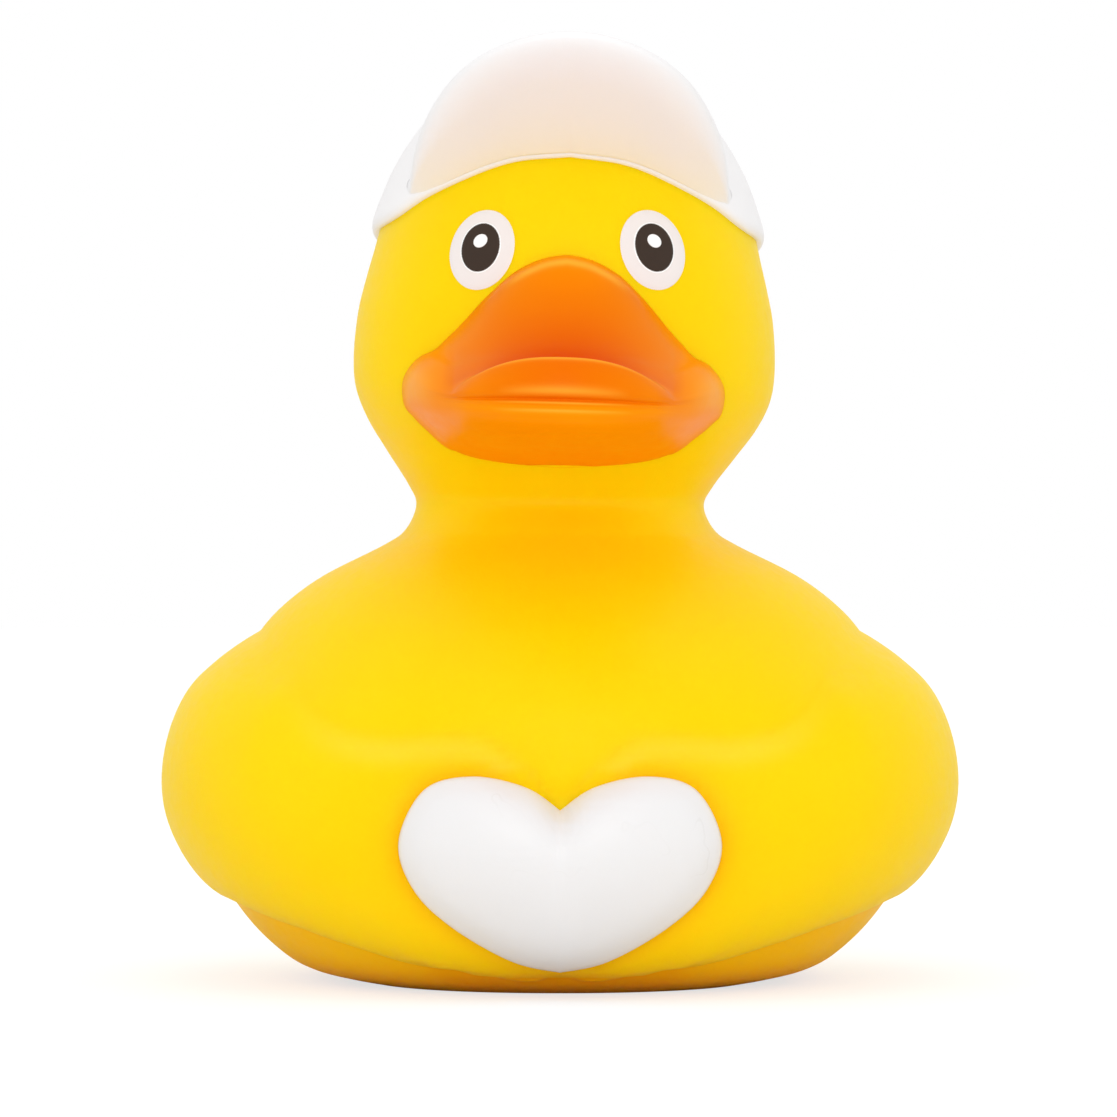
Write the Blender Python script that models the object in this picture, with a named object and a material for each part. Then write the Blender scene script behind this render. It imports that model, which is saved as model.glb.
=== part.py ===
"""Toy duck in a peaked cap, holding a heart: one hollow soft-vinyl moulding with painted areas.

It stands on Z = 0, centred on the origin, and faces +X. Sizes are in millimetres and become metres
where a mesh is made.
"""

import math

import bmesh
import bpy
import numpy as np
from mathutils import Vector
from mathutils.bvhtree import BVHTree

MM = 0.001

# Heights of the skin's four main levels above the flat base, and of the top of the head.
BELLY_Z = 20.0
NECK_Z = 49.0
CHEEK_Z = 64.0
SCALP_Z = 92.4

# Reach of the skin at each level from the upright axis: forward, backward, sideways.
BASE_REACH = (22.0, 21.0, 20.0)
BELLY_REACH = (36.0, 40.0, 37.2)
NECK_REACH = (15.4, 13.0, 14.9)
CHEEK_REACH = (27.4, 18.6, 21.7)
SCALP_REACH = (4.4, -4.4, 0.0)

# Sections between two levels: share of the rise, then share of the way to the next level's reach
# forward, backward and sideways.
HULL = (
    (0.025, 0.16, 0.16, 0.16),
    (0.065, 0.33, 0.30, 0.34),
    (0.14, 0.50, 0.45, 0.50),
    (0.30, 0.72, 0.67, 0.70),
    (0.50, 0.88, 0.84, 0.86),
    (0.75, 0.98, 0.96, 0.965),
)
SHOULDER = (
    (0.24, 0.02, -0.06, 0.05),
    (0.38, 0.10, -0.06, 0.13),
    (0.54, 0.27, 0.03, 0.255),
    (0.645, 0.43, 0.18, 0.377),
    (0.75, 0.62, 0.42, 0.565),
    (0.86, 0.83, 0.73, 0.85),
    (0.914, 0.91, 0.86, 0.95),
)
JOWL = (
    (0.14, 0.11, 0.08, 0.13),
    (0.35, 0.42, 0.36, 0.45),
    (0.56, 0.74, 0.68, 0.76),
    (0.77, 0.94, 0.91, 0.955),
)
BROW = (
    (0.15, -0.01, 0.00, 0.015),
    (0.26, 0.00, 0.02, 0.045),
    (0.37, 0.03, 0.06, 0.082),
    (0.51, 0.10, 0.12, 0.13),
    (0.68, 0.21, 0.22, 0.22),
    (0.84, 0.37, 0.37, 0.36),
    (0.92, 0.52, 0.52, 0.51),
    (0.97, 0.70, 0.70, 0.69),
    (0.993, 0.86, 0.86, 0.86),
)
BODY_FULLNESS = 2.15
HEAD_FULLNESS = 2.0

# The head leans a little to its left side, as moulded.
HEAD_LEAN_DEG = 1.7
HEAD_LEAN_FROM = 44.0
HEAD_LEAN_TO = 60.0

# Wings: swell over the body, and their upper and lower edges at angles from straight ahead.
WING_SWELL = 4.3
WING_SIDE_DEG = 95
WING_ANGLES = (0, 4, 10, 16, 27, 38, 50, 70, 90, 112, 126, 138, 144)
WING_TOP_Z = (18.5, 22.4, 25.6, 26.0, 25.7, 27.2, 31.6, 35.0, 36.0, 37.0, 37.2, 36.5, 35.5)
WING_FOOT_Z = (2.4, 2.5, 2.7, 3.4, 4.5, 6.4, 8.0, 9.2, 9.1, 12.0, 17.5, 25.0, 31.0)
WING_SHARE = (0.50, 0.52, 0.55, 0.58, 0.66, 0.74, 0.84, 0.95, 1.0, 0.95, 0.80, 0.45, 0.0)

# Tail: pulled out of the back and turned up.
TAIL_ROOT_Z = 33.5
TAIL_LENGTH = 12.0
TAIL_HALF_WIDTH = 17.0
TAIL_HALF_DEPTH = 11.5
TAIL_PITCH_DEG = 12.0
TAIL_CURL_DEG = 42.0

# The moulding's wall, and the hole in its base that lets the mould's air out.
WALL = 2.0
VENT_DIAMETER = 3.0
VENT_LENGTH = 16.0

# Cap: a crown that hugs the head and a peak that rises in front of it. A rise here is a share of
# the way from the cheeks to the scalp.
CAP_THICKNESS = 1.0
CAP_EDGE_ANGLES = (0, 20, 40, 52, 62, 90, 130, 180)
CAP_EDGE_RISE = (0.690, 0.666, 0.588, 0.535, 0.486, 0.437, 0.352, 0.299)
CAP_EDGE_THICKNESS = 0.6
CAP_RINGS = (0.0, 0.06, 0.2, 0.34, 0.48, 0.62, 0.74, 0.86, 0.95)
PEAK_HALF_WIDTH = 16.6
PEAK_ROOT_SHARE = 0.905
PEAK_ROOT_BITE = 3.0
PEAK_TIP_X = 38.5
PEAK_TIP_RISE = 1.035
PEAK_CORNER_X = 14.5
PEAK_CORNER_RISE = 0.542
PEAK_THICKNESS = 2.2
PEAK_SPAN_DEG = 88
PEAK_EDGE_SHARE = 0.62
PEAK_UNDER_ROLL = 6.0
PEAK_UNDER_ROLL_DEG = (-90, -55, -25, 0)
PEAK_OVER_ROLL = 1.2
PEAK_OVER_ROLL_DEG = (30, 60, 90)

# Heart: a pillow on the chest, its half outline from notch to tip as (sideways, up).
HEART_OUTLINE = (
    (0.0, 18.9),
    (3.4, 21.2),
    (8.6, 22.25),
    (13.3, 20.9),
    (15.8, 15.8),
    (14.3, 11.0),
    (10.4, 7.2),
    (4.6, 4.2),
    (0.0, 3.2),
)
HEART_PROUD = 3.2
HEART_CENTRE_Z = 14.0
HEART_RINGS = (
    (0.96, -0.4),
    (0.99, -0.1),
    (1.0, 0.15),
    (0.985, 0.4),
    (0.94, 0.62),
    (0.86, 0.79),
    (0.72, 0.91),
    (0.5, 0.98),
    (0.2, 1.0),
)

# Bill: its tip ahead of the skin's axis, and how far its root is bedded in the face. Heights count
# from the mouth, which stands at a share of the way from the neck to the cheeks.
MOUTH_RISE = 0.66
BILL_TIP_X = 44.4
BILL_HALF_WIDTH = 16.4
BILL_ROOT_BEDDED = 1.0
BILL_SIDES_BEDDED = 0.15
# Where it stands on the face: height, and share of the half width.
BILL_OUTLINE = (
    (14.7, 0.037),
    (14.4, 0.119),
    (13.8, 0.22),
    (12.6, 0.341),
    (10.3, 0.491),
    (8.3, 0.601),
    (6.4, 0.713),
    (5.1, 0.799),
    (4.45, 0.884),
    (3.5, 0.948),
    (2.4, 0.988),
    (1.1, 1.0),
    (-0.5, 0.982),
    (-1.5, 0.927),
    (-2.7, 0.848),
    (-4.75, 0.677),
    (-5.7, 0.402),
    (-6.3, 0.073),
)
# Its rows from the root's top to the chin's end: share of the way out to the tip and height on the
# middle line, height beside the mouth's corner, then share and height where it ends on the cheek.
BILL_ROWS = (
    (0.0, 14.7, 14.7, 0.0, 14.7),
    (0.12, 14.6, 14.6, 0.12, 14.6),
    (0.19, 14.2, 14.2, 0.19, 14.2),
    (0.25, 13.1, 13.1, 0.25, 13.1),
    (0.33, 10.9, 10.9, 0.33, 10.9),
    (0.44, 8.3, 8.3, 0.44, 8.3),
    (0.57, 6.2, 6.0, 0.57, 6.2),
    (0.68, 4.8, 3.9, 0.68, 5.1),
    (0.78, 3.8, 2.4, 0.77, 4.1),
    (0.84, 3.4, 1.5, 0.83, 3.2),
    (0.91, 4.0, 0.7, 0.89, 2.2),
    (0.93, 3.9, 0.55, 0.91, 1.9),
    (0.97, 3.0, 0.4, 0.92, 1.6),
    (0.99, 1.9, 0.3, 0.93, 1.3),
    (1.0, 0.9, 0.2, 0.93, 1.1),
    (0.99, 0.3, 0.08, 0.93, 0.9),
    (0.97, -0.1, -0.1, 0.93, 0.7),
    (0.99, -0.5, -0.3, 0.93, 0.5),
    (0.99, -1.2, -1.0, 0.91, -0.2),
    (0.98, -1.8, -1.5, 0.89, -0.8),
    (0.92, -2.7, -2.2, 0.84, -1.7),
    (0.78, -3.5, -3.1, 0.74, -2.8),
    (0.51, -4.2, -3.9, 0.51, -3.9),
    (0.12, -4.9, -4.7, 0.12, -4.8),
    (-0.55, -6.3, -6.3, -0.55, -6.3),
)
MOUTH_CORNER_Y = 10.8
MOUTH_CORNER_FADE = 1.6
LIP_ARCH = 2.6

# Eyes: painted ovals that slant a little, each with a pupil and a glint raised on it.
EYE_SPACING = 17.0
EYE_OFFSET = 0.73
EYE_RISE = 0.361
EYE_HALF_WIDTH = 3.12
EYE_HALF_HEIGHT = 4.08
EYE_TILT_DEG = 17.0
PUPIL_HALF_WIDTH = 1.8
PUPIL_HALF_HEIGHT = 2.39
PUPIL_TILT_DEG = 15.0
PUPIL_SPACING = 17.2
PUPIL_RAISE = 0.2
GLINT_HALF_WIDTH = 0.6
GLINT_HALF_HEIGHT = 0.74
GLINT_TILT_DEG = 48.0
GLINT_RAISE = 0.85
EYE_PROUD = 0.26
PUPIL_PROUD = 0.4
GLINT_PROUD = 0.52
PAINT_ROOT = 1.0
PAINT_FLAT_SHARE = 0.55

# Fineness of the meshes, and the fold angle past which an edge stays sharp.
SKIN_COLUMNS = 56
SKIN_CROWDING_DEG = 8.0
SKIN_STEPS_PER_SECTION = 2
CORE_COLUMNS = 24
CAP_COLUMNS = 48
PEAK_COLUMNS = 25
HEART_COLUMNS = 25
BILL_COLUMNS = 29
VENT_SIDES = 20
SHARP_DEG = 38.0


def between(low, high, sections):
    """Rows (height, forward, backward, sideways) between two levels, each level being (height, reach)."""
    rows = []
    for rise, *shares in sections:
        height = low[0] + (high[0] - low[0]) * rise
        reach = [a + (b - a) * s for a, b, s in zip(low[1], high[1], shares)]
        rows.append([height, *reach])
    return rows


def skin_rows():
    base = (0.0, BASE_REACH)
    belly = (BELLY_Z, BELLY_REACH)
    neck = (NECK_Z, NECK_REACH)
    cheek = (CHEEK_Z, CHEEK_REACH)
    scalp = (SCALP_Z, SCALP_REACH)
    rows = [[0.0, *BASE_REACH]]
    rows += between(base, belly, HULL) + [[BELLY_Z, *BELLY_REACH]]
    rows += between(belly, neck, SHOULDER) + [[NECK_Z, *NECK_REACH]]
    rows += between(neck, cheek, JOWL) + [[CHEEK_Z, *CHEEK_REACH]]
    rows += between(cheek, scalp, BROW) + [[SCALP_Z, *SCALP_REACH]]
    return np.array(rows)


def curve_through(points, at):
    """Catmull-Rom curve through the points, read at a position counted in points."""
    points = np.asarray(points, float)
    last = len(points) - 1
    at = np.clip(np.asarray(at, float), 0, last)
    i = np.minimum(at.astype(int), last - 1)
    f = (at - i)[..., None]
    before = points[np.maximum(i - 1, 0)]
    after = points[np.minimum(i + 2, last)]
    p, q = points[i], points[i + 1]
    square = 2 * before - 5 * p + 4 * q - after
    cube = 3 * (p - q) + after - before
    return p + 0.5 * f * (q - before + f * (square + f * cube))


ROWS = skin_rows()
STEPS = np.linspace(0, len(ROWS) - 1, 2000)
STEP_HEIGHTS = np.maximum.accumulate(curve_through(ROWS, STEPS)[:, 0] + STEPS * 1e-7)
MOUTH_Z = NECK_Z + (CHEEK_Z - NECK_Z) * MOUTH_RISE


def brow_height(rise):
    """Height above the base at a share of the way from the cheeks to the scalp."""
    return CHEEK_Z + (SCALP_Z - CHEEK_Z) * np.asarray(rise)


def step_at(height):
    return np.interp(height, STEP_HEIGHTS, STEPS)


def soft_step(value, low, high):
    s = np.clip((value - low) / (high - low), 0, 1)
    return s * s * (3 - 2 * s)


def lean(points):
    """The points turned about the neck by the head's lean, growing from the shoulders to the jowls."""
    points = np.array(points, float)
    turn = math.radians(HEAD_LEAN_DEG) * soft_step(points[..., 2], HEAD_LEAN_FROM, HEAD_LEAN_TO)
    y, z = points[..., 1].copy(), points[..., 2] - NECK_Z
    points[..., 1] = y * np.cos(turn) + z * np.sin(turn)
    points[..., 2] = NECK_Z + z * np.cos(turn) - y * np.sin(turn)
    return points


def section_points(step, angle):
    """Points of the plain skin at a step along its rows and an angle from straight ahead, in degrees."""
    row = curve_through(ROWS, step)
    height, front, back, side = np.moveaxis(row, -1, 0)
    fullness = HEAD_FULLNESS + (BODY_FULLNESS - HEAD_FULLNESS) * (1 - soft_step(height, BELLY_Z, NECK_Z))
    turn = np.radians(angle)
    middle = (front - back) / 2
    length = (front + back) / 2
    power = 2 / fullness
    x = middle + length * np.sign(np.cos(turn)) * np.abs(np.cos(turn)) ** power
    y = side * np.sign(np.sin(turn)) * np.abs(np.sin(turn)) ** power
    return np.stack([x, y, height + 0 * x], axis=-1)


def grid_normals(points):
    """Outward normals of a grid of points, rows upward and columns turning from ahead to the left."""
    along = np.gradient(points, axis=0)
    round_ = (np.roll(points, -1, axis=1) - np.roll(points, 1, axis=1)) / 2
    normals = np.cross(round_, along)
    return normals / np.maximum(np.linalg.norm(normals, axis=-1, keepdims=True), 1e-9)


def follow_wing(steps, angle):
    """Steps moved so that the row at the wing's foot runs along that foot all the way round."""
    heights = np.interp(steps, STEPS, STEP_HEIGHTS)
    side_foot = np.interp(WING_SIDE_DEG, WING_ANGLES, WING_FOOT_Z)
    foot = np.interp(np.minimum(angle, WING_SIDE_DEG), WING_ANGLES, WING_FOOT_Z)
    below = heights * foot / side_foot
    above = foot + (heights - side_foot) * (BELLY_Z - foot) / (BELLY_Z - side_foot)
    moved = np.where(heights < side_foot, below, np.where(heights < BELLY_Z, above, heights))
    return step_at(moved)


def wing_swell(angle, height):
    foot = np.interp(angle, WING_ANGLES, WING_FOOT_Z)
    top = np.interp(angle, WING_ANGLES, WING_TOP_Z)
    share = np.interp(angle, WING_ANGLES, WING_SHARE)
    s = np.clip((height - foot) / (top - foot), 0, 1)
    return WING_SWELL * share * (4 * s * (1 - s)) ** (0.62 + 0.45 * s)


def pull_tail(points, angle):
    """The points of the back drawn out into the upturned tail."""
    across = points[..., 1] / TAIL_HALF_WIDTH
    up = (points[..., 2] - TAIL_ROOT_Z) / TAIL_HALF_DEPTH
    near = np.clip(1 - np.hypot(across, up), 0, 1) * (np.abs(angle) > 90)
    pull = near * near * (3 - 2 * near)
    pitch = np.radians(TAIL_PITCH_DEG + TAIL_CURL_DEG * pull)
    moved = np.array(points)
    moved[..., 0] -= TAIL_LENGTH * pull * np.cos(pitch)
    moved[..., 2] += TAIL_LENGTH * pull * np.sin(pitch)
    return moved


def skin_grid(columns, per_section):
    """The moulded skin as rows of points, from the base's rim to just under the top of the head."""
    around = (np.arange(columns) + 0.5) * 360 / columns
    around = around - SKIN_CROWDING_DEG * np.sin(np.radians(2 * around))
    from_front = np.abs((around + 180) % 360 - 180)
    steps = np.linspace(0, len(ROWS) - 1, (len(ROWS) - 1) * per_section + 1)[:-1]
    steps = follow_wing(steps[:, None] + 0 * around, from_front[None, :] + 0 * steps[:, None])
    plain = section_points(steps, around[None, :] + 0 * steps)
    swell = wing_swell(from_front[None, :] + 0 * steps, plain[..., 2])
    points = plain + grid_normals(plain) * swell[..., None]
    return lean(pull_tail(points, from_front[None, :] + 0 * steps))


def new_mesh(name, points, faces, material):
    mesh = bpy.data.meshes.new(name)
    mesh.from_pydata([tuple(p) for p in np.asarray(points) * MM], [], faces)
    shape = bmesh.new()
    shape.from_mesh(mesh)
    bmesh.ops.remove_doubles(shape, verts=shape.verts, dist=1e-6)
    bmesh.ops.recalc_face_normals(shape, faces=shape.faces)
    shape.to_mesh(mesh)
    shape.free()
    mesh.shade_smooth()
    mesh.materials.append(material)
    obj = bpy.data.objects.new(name, mesh)
    bpy.context.scene.collection.objects.link(obj)
    return obj


def grid_faces(rows, columns, wrap, first=0):
    faces = []
    for r in range(rows - 1):
        for c in range(columns if wrap else columns - 1):
            d = (c + 1) % columns
            a = first + r * columns
            b = a + columns
            faces.append((a + c, a + d, b + d, b + c))
    return faces


def capped(name, grid, material):
    """A closed body from rings of points, each end closed by a fan round its middle."""
    rows, columns = grid.shape[:2]
    points = np.vstack([grid.reshape(-1, 3), grid[0].mean(axis=0), grid[-1].mean(axis=0)])
    faces = grid_faces(rows, columns, True)
    low, high = rows * columns, rows * columns + 1
    for c in range(columns):
        d = (c + 1) % columns
        faces.append((low, d, c))
        faces.append((high, (rows - 1) * columns + c, (rows - 1) * columns + d))
    return new_mesh(name, points, faces, material)


def painted(name, colour, roughness):
    material = bpy.data.materials.new(name)
    material.use_nodes = True
    shader = material.node_tree.nodes["Principled BSDF"]
    shader.inputs["Base Color"].default_value = (*colour, 1.0)
    shader.inputs["Roughness"].default_value = roughness
    return material


for old in list(bpy.data.objects):
    bpy.data.objects.remove(old, do_unlink=True)

yellow = painted("yellow_vinyl", (1.0, 0.66, 0.0), 0.42)
white = painted("white_paint", (0.88, 0.87, 0.86), 0.4)
orange = painted("orange_paint", (0.94, 0.22, 0.0), 0.35)
brown = painted("brown_paint", (0.03, 0.018, 0.012), 0.4)

skin = skin_grid(SKIN_COLUMNS, SKIN_STEPS_PER_SECTION)
duck = capped("duck", skin, yellow)
length_middle = (BILL_TIP_X + skin[..., 0].min()) / 2
duck.location.x = -length_middle * MM

tree = BVHTree.FromPolygons(
    [Vector(v.co) / MM for v in duck.data.vertices], [tuple(p.vertices) for p in duck.data.polygons]
)


def front_of_skin(y, z):
    """How far forward the skin reaches at this place across and up."""
    well_ahead = Vector((BELLY_REACH[0] + BILL_TIP_X, y, z))
    hit = tree.ray_cast(well_ahead, Vector((-1.0, 0.0, 0.0)))[0]
    return hit.x


def helper(obj, operation):
    """Hides the body and joins it to the duck, or cuts it away."""
    obj.parent = duck
    obj.hide_render = True
    obj.display_type = "WIRE"
    cut = duck.modifiers.new(obj.name, "BOOLEAN")
    cut.operation = operation
    cut.object = obj
    cut.solver = "EXACT"
    cut.material_mode = "TRANSFER"


# The crown of the cap: the head's own surface, raised.
def cap_crown():
    around = np.linspace(0, 360, CAP_COLUMNS, endpoint=False)
    from_front = np.abs((around + 180) % 360 - 180)
    edge = step_at(brow_height(np.interp(from_front, CAP_EDGE_ANGLES, CAP_EDGE_RISE)))
    shares = np.array(CAP_RINGS)[:, None]
    steps = edge + (len(ROWS) - 1 - edge) * shares
    plain = section_points(steps, around[None, :] + 0 * steps)
    normals = grid_normals(plain)
    outer = plain + normals * CAP_THICKNESS
    outer[0] = plain[0] + normals[0] * CAP_THICKNESS * CAP_EDGE_THICKNESS
    inner = plain - normals * WALL / 2
    return lean(np.concatenate([inner[::-1], outer]))


crown = capped("cap_crown", cap_crown(), white)
helper(crown, "UNION")


# The peak: a curved plate from the forehead to a half-round rim.
def cap_peak():
    turn = np.radians(np.linspace(-PEAK_SPAN_DEG, PEAK_SPAN_DEG, PEAK_COLUMNS))
    y = PEAK_HALF_WIDTH * np.sin(turn)
    rim_x = PEAK_CORNER_X + (PEAK_TIP_X - PEAK_CORNER_X) * np.cos(turn)
    corner_z, tip_z = brow_height((PEAK_CORNER_RISE, PEAK_TIP_RISE))
    rim_z = corner_z + (tip_z - corner_z) * np.cos(turn)
    rim = np.stack([rim_x, y, rim_z], axis=-1)
    head_side = curve_through(ROWS, step_at(corner_z))[3]
    angle = np.degrees(np.arcsin(np.clip(y * PEAK_ROOT_SHARE / head_side, -1, 1)))
    edge_z = brow_height(np.interp(np.abs(angle), CAP_EDGE_ANGLES, CAP_EDGE_RISE))
    root = section_points(step_at(edge_z), angle)
    out = rim - root
    reach = np.linalg.norm(out, axis=-1, keepdims=True)
    out = out / np.maximum(reach, 1e-6)
    up = np.cross(out, np.gradient(root, axis=0))
    up = up / np.linalg.norm(up, axis=-1, keepdims=True)
    up[up[:, 2] < 0] *= -1
    inside = root - np.array([PEAK_ROOT_BITE, 0.0, 0.0])
    t = PEAK_THICKNESS
    under_roll = np.minimum(PEAK_UNDER_ROLL, reach * 0.45)
    over_roll = np.minimum(PEAK_OVER_ROLL, reach * 0.3)
    rows = [inside + up * 0.2, root, (root + rim - out * under_roll) / 2]
    for bend in np.radians(PEAK_UNDER_ROLL_DEG):
        rows.append(rim - out * under_roll * (1 - np.cos(bend)) + up * t * PEAK_EDGE_SHARE * (1 + np.sin(bend)))
    for bend in np.radians(PEAK_OVER_ROLL_DEG):
        lift = PEAK_EDGE_SHARE + (1 - PEAK_EDGE_SHARE) * np.sin(bend)
        rows.append(rim - out * over_roll * (1 - np.cos(bend)) + up * t * lift)
    rows += [(root + rim - out * over_roll) / 2 + up * t, root + up * t, inside + up * (t + 0.2)]
    return lean(np.stack(rows, axis=1))


peak = capped("cap_peak", cap_peak(), white)
helper(peak, "UNION")


# The heart: rings of its outline drawn in toward the middle while they rise into a pillow.
def heart_grid():
    half = curve_through(HEART_OUTLINE, np.linspace(0, len(HEART_OUTLINE) - 1, HEART_COLUMNS))
    outline = np.vstack([half, (half * (-1, 1))[-2:0:-1]])
    middle = np.array([0.0, HEART_CENTRE_Z])
    rings = []
    for share, rise in HEART_RINGS:
        yz = middle + (outline - middle) * share
        x = np.array([front_of_skin(y, z) for y, z in yz])
        rings.append(np.stack([x + HEART_PROUD * rise, yz[:, 0], yz[:, 1]], axis=-1))
    return np.stack(rings)


heart = capped("heart", heart_grid(), white)
helper(heart, "UNION")


# How far forward the plain head reaches at a place across and up.
def face_depth(across, height):
    front, back, side = np.moveaxis(curve_through(ROWS, step_at(height))[..., 1:], -1, 0)
    level = np.sqrt(1 - np.minimum(np.abs(across) / side, 0.98) ** 2)
    return (front - back) / 2 + (front + back) / 2 * level


# The bill: half ovals from cheek to cheek, row by row from the root's top down to the chin. The
# lip's step and the mouth's groove close at the corners, and the rows fan out over the cheeks.
def bill_grid():
    turn = np.radians(np.linspace(-90, 90, BILL_COLUMNS))[None, :]
    root_x = CHEEK_REACH[0] - BILL_ROOT_BEDDED
    out, rise, corner_rise, cheek_out, cheek_rise = np.array(BILL_ROWS).T[:, :, None]
    depth = root_x + (BILL_TIP_X - root_x) * out
    cheek_depth = root_x + (BILL_TIP_X - root_x) * cheek_out
    edge = np.array(BILL_OUTLINE)[::-1]
    half_width = BILL_HALF_WIDTH * np.interp(cheek_rise, edge[:, 0], edge[:, 1])
    y = half_width * np.sin(turn)
    across = np.abs(y)
    to_corner = (np.minimum(across, MOUTH_CORNER_Y) / MOUTH_CORNER_Y) ** LIP_ARCH
    to_cheek = soft_step(across, MOUTH_CORNER_Y, np.maximum(half_width, MOUTH_CORNER_Y * 1.05))
    z = MOUTH_Z + rise + (corner_rise - rise) * to_corner + (cheek_rise - corner_rise) * to_cheek
    shut = soft_step(across, MOUTH_CORNER_Y - MOUTH_CORNER_FADE, MOUTH_CORNER_Y + MOUTH_CORNER_FADE)
    face_x = face_depth(half_width, MOUTH_Z + cheek_rise)
    proud = cheek_depth - face_x
    bedding = BILL_SIDES_BEDDED * np.maximum(np.abs(proud), BILL_ROOT_BEDDED)
    bedded_x = face_x + np.minimum(proud, 0) - bedding
    x = bedded_x + (depth + (cheek_depth - depth) * shut - bedded_x) * np.cos(turn)
    return lean(np.stack([x, y, z], axis=-1))


bill = capped("bill", bill_grid(), orange)
helper(bill, "UNION")


# An oval of paint on the face, its rim following the skin behind it.
def paint_oval(name, centre, half_size, tilt_deg, proud, paint, sides):
    turn = np.linspace(0, 2 * math.pi, sides, endpoint=False)
    across = half_size[0] * np.cos(turn)
    up = half_size[1] * np.sin(turn)
    tilt = math.radians(tilt_deg)
    rim_y = across * math.cos(tilt) - up * math.sin(tilt)
    rim_z = across * math.sin(tilt) + up * math.cos(tilt)
    rim = np.stack([rim_y, rim_z], axis=-1)
    rings = []
    for share, rise in ((1.0, -PAINT_ROOT), (1.0, proud), (PAINT_FLAT_SHARE, proud)):
        ring = rim * share + centre
        rings.append([(front_of_skin(y, z) + rise, y, z) for y, z in ring])
    return capped(name, np.array(rings), paint)


eye_z = float(brow_height(EYE_RISE))
eye_size = (EYE_HALF_WIDTH, EYE_HALF_HEIGHT)
pupil_size = (PUPIL_HALF_WIDTH, PUPIL_HALF_HEIGHT)
glint_size = (GLINT_HALF_WIDTH, GLINT_HALF_HEIGHT)
for side, label in ((-1, "right"), (1, "left")):
    eye = (EYE_OFFSET + side * EYE_SPACING / 2, eye_z)
    pupil = (EYE_OFFSET + side * PUPIL_SPACING / 2, eye_z + PUPIL_RAISE)
    glint = (EYE_OFFSET + side * PUPIL_SPACING / 2, eye_z + GLINT_RAISE)
    ovals = (
        paint_oval(f"{label}_eye", eye, eye_size, side * EYE_TILT_DEG, EYE_PROUD, white, 24),
        paint_oval(f"{label}_pupil", pupil, pupil_size, side * PUPIL_TILT_DEG, PUPIL_PROUD, brown, 20),
        paint_oval(f"{label}_glint", glint, glint_size, side * GLINT_TILT_DEG, GLINT_PROUD, white, 12),
    )
    for oval in ovals:
        helper(oval, "UNION")


# The air inside: the plain skin drawn in by the wall.
def core_grid():
    around = np.linspace(0, 360, CORE_COLUMNS, endpoint=False)
    steps = np.linspace(2, len(ROWS) - 2, len(ROWS) - 3)
    plain = section_points(steps[:, None] + 0 * around, around[None, :] + 0 * steps[:, None])
    grid = plain - grid_normals(plain) * WALL
    grid[..., 2] = np.clip(grid[..., 2], WALL, SCALP_Z - WALL)
    grid[0, :, 2] = WALL
    return lean(grid)


core = capped("core", core_grid(), yellow)
helper(core, "DIFFERENCE")

shape = bmesh.new()
vent_radius = VENT_DIAMETER / 2 * MM
bmesh.ops.create_cone(
    shape, cap_ends=True, segments=VENT_SIDES, radius1=vent_radius, radius2=vent_radius, depth=VENT_LENGTH * MM
)
vent_mesh = bpy.data.meshes.new("vent")
shape.to_mesh(vent_mesh)
shape.free()
vent = bpy.data.objects.new("vent", vent_mesh)
bpy.context.scene.collection.objects.link(vent)
helper(vent, "DIFFERENCE")

# The joins and cuts become the duck's own mesh, with its folds kept sharp.
bpy.context.view_layer.update()
finished = bpy.data.meshes.new_from_object(duck.evaluated_get(bpy.context.evaluated_depsgraph_get()))
duck.modifiers.clear()
for body in list(duck.children):
    bpy.data.objects.remove(body, do_unlink=True)
duck.data = finished
finished.name = "duck"
finished.set_sharp_from_angle(angle=math.radians(SHARP_DEG))
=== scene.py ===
import math

import bmesh
import bpy
import numpy as np
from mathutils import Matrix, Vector
from mathutils.bvhtree import BVHTree


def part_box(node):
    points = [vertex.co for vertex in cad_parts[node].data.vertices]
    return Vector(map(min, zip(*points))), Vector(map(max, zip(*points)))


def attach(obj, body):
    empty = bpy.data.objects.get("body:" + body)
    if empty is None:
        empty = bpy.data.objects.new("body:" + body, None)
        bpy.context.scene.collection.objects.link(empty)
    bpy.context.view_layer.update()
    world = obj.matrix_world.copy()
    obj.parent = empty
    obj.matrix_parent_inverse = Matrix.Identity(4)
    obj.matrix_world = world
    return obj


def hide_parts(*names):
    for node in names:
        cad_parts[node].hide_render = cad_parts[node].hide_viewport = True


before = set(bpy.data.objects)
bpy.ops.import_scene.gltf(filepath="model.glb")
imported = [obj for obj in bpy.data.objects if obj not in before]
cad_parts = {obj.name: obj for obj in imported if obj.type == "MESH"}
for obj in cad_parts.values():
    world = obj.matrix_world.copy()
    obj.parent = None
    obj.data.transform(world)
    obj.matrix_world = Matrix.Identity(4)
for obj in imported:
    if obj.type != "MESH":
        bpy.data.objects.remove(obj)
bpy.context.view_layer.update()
duck_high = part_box("duck")[1]

# The moulding: body, neck and head.
# One hollow skin of soft yellow PVC, spun in a heated two-part mould and pulled out while warm.
# Its sections are drawn level by level, in millimetres, from the flat base to the top of the head,
# about an upright axis that stands a little behind the middle of the part's box.
BELLY_Z, NECK_Z, CHEEK_Z, SCALP_Z = 20.0, 49.0, 64.0, 92.4
BASE_REACH = (22.0, 21.0, 20.0)
BELLY_REACH = (36.0, 40.0, 37.2)
NECK_REACH = (15.4, 13.0, 14.9)
CHEEK_REACH = (27.4, 18.6, 21.7)
SCALP_REACH = (4.4, -4.4, 0.0)
HULL = (
    (0.025, 0.16, 0.16, 0.16),
    (0.065, 0.33, 0.30, 0.34),
    (0.14, 0.50, 0.45, 0.50),
    (0.30, 0.72, 0.67, 0.70),
    (0.50, 0.88, 0.84, 0.86),
    (0.75, 0.98, 0.96, 0.965),
)
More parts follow.
